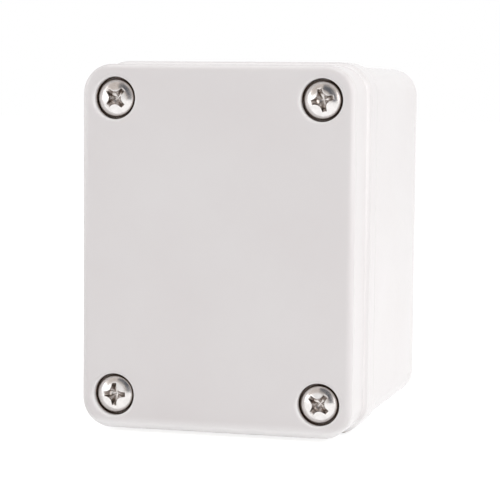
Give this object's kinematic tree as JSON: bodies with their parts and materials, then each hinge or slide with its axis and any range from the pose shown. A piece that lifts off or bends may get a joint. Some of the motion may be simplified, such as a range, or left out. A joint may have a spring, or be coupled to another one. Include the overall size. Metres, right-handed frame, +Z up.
{
  "type": "plastic project box",
  "caption": "Small sealed plastic enclosure with a deep base, a flat lid held by captive corner screws, a perimeter gasket, threaded inserts and board bosses.",
  "frame": {"origin": "bottom centre of the box as it stands, under the middle of its width and depth", "axes": "+Z up along the box's height, the lid faces -Y, +X to the right as seen from the front"},
  "size_m": [0.05, 0.055, 0.065],
  "materials": {
    "housing": "light grey moulded ABS, semi-gloss",
    "gasket": "black closed-cell rubber",
    "screw": "bright stainless steel",
    "ring": "black rubber",
    "insert": "turned brass"
  },
  "bodies": {
    "base": {"base": "housing", "insert_top_left": "insert", "insert_top_right": "insert", "insert_bottom_left": "insert", "insert_bottom_right": "insert"},
    "lid": {"lid": "housing", "gasket": "gasket"},
    "carrier_top_left": {"ring_top_left": "ring"},
    "screw_top_left": {"screw_top_left": "screw"},
    "carrier_top_right": {"ring_top_right": "ring"},
    "screw_top_right": {"screw_top_right": "screw"},
    "carrier_bottom_left": {"ring_bottom_left": "ring"},
    "screw_bottom_left": {"screw_bottom_left": "screw"},
    "carrier_bottom_right": {"ring_bottom_right": "ring"},
    "screw_bottom_right": {"screw_bottom_right": "screw"}
  },
  "joints": [
    {"name": "lid_lift_off", "type": "slide", "parent": "base", "child": "lid", "axis": [0, -1, 0], "range_m": [0, 0.04]},
    {"name": "travel_top_left", "type": "slide", "parent": "lid", "child": "carrier_top_left", "axis": [0, -1, 0], "range_m": [0, 0.0036]},
    {"name": "turn_top_left", "type": "hinge", "parent": "carrier_top_left", "child": "screw_top_left", "pos_m": [-0.0185, -0.025, 0.0585], "axis": [0, -1, 0], "range_deg": [0, 2160]},
    {"name": "travel_top_right", "type": "slide", "parent": "lid", "child": "carrier_top_right", "axis": [0, -1, 0], "range_m": [0, 0.0036]},
    {"name": "turn_top_right", "type": "hinge", "parent": "carrier_top_right", "child": "screw_top_right", "pos_m": [0.0185, -0.025, 0.0585], "axis": [0, -1, 0], "range_deg": [0, 2160]},
    {"name": "travel_bottom_left", "type": "slide", "parent": "lid", "child": "carrier_bottom_left", "axis": [0, -1, 0], "range_m": [0, 0.0036]},
    {"name": "turn_bottom_left", "type": "hinge", "parent": "carrier_bottom_left", "child": "screw_bottom_left", "pos_m": [-0.0185, -0.025, 0.0065], "axis": [0, -1, 0], "range_deg": [0, 2160]},
    {"name": "travel_bottom_right", "type": "slide", "parent": "lid", "child": "carrier_bottom_right", "axis": [0, -1, 0], "range_m": [0, 0.0036]},
    {"name": "turn_bottom_right", "type": "hinge", "parent": "carrier_bottom_right", "child": "screw_bottom_right", "pos_m": [0.0185, -0.025, 0.0065], "axis": [0, -1, 0], "range_deg": [0, 2160]}
  ],
  "couplings": [
    {"joint": "turn_top_left", "follows": "travel_top_left", "rad_per_m": 10472},
    {"joint": "turn_top_right", "follows": "travel_top_right", "rad_per_m": 10472},
    {"joint": "turn_bottom_left", "follows": "travel_bottom_left", "rad_per_m": 10472},
    {"joint": "turn_bottom_right", "follows": "travel_bottom_right", "rad_per_m": 10472}
  ]
}
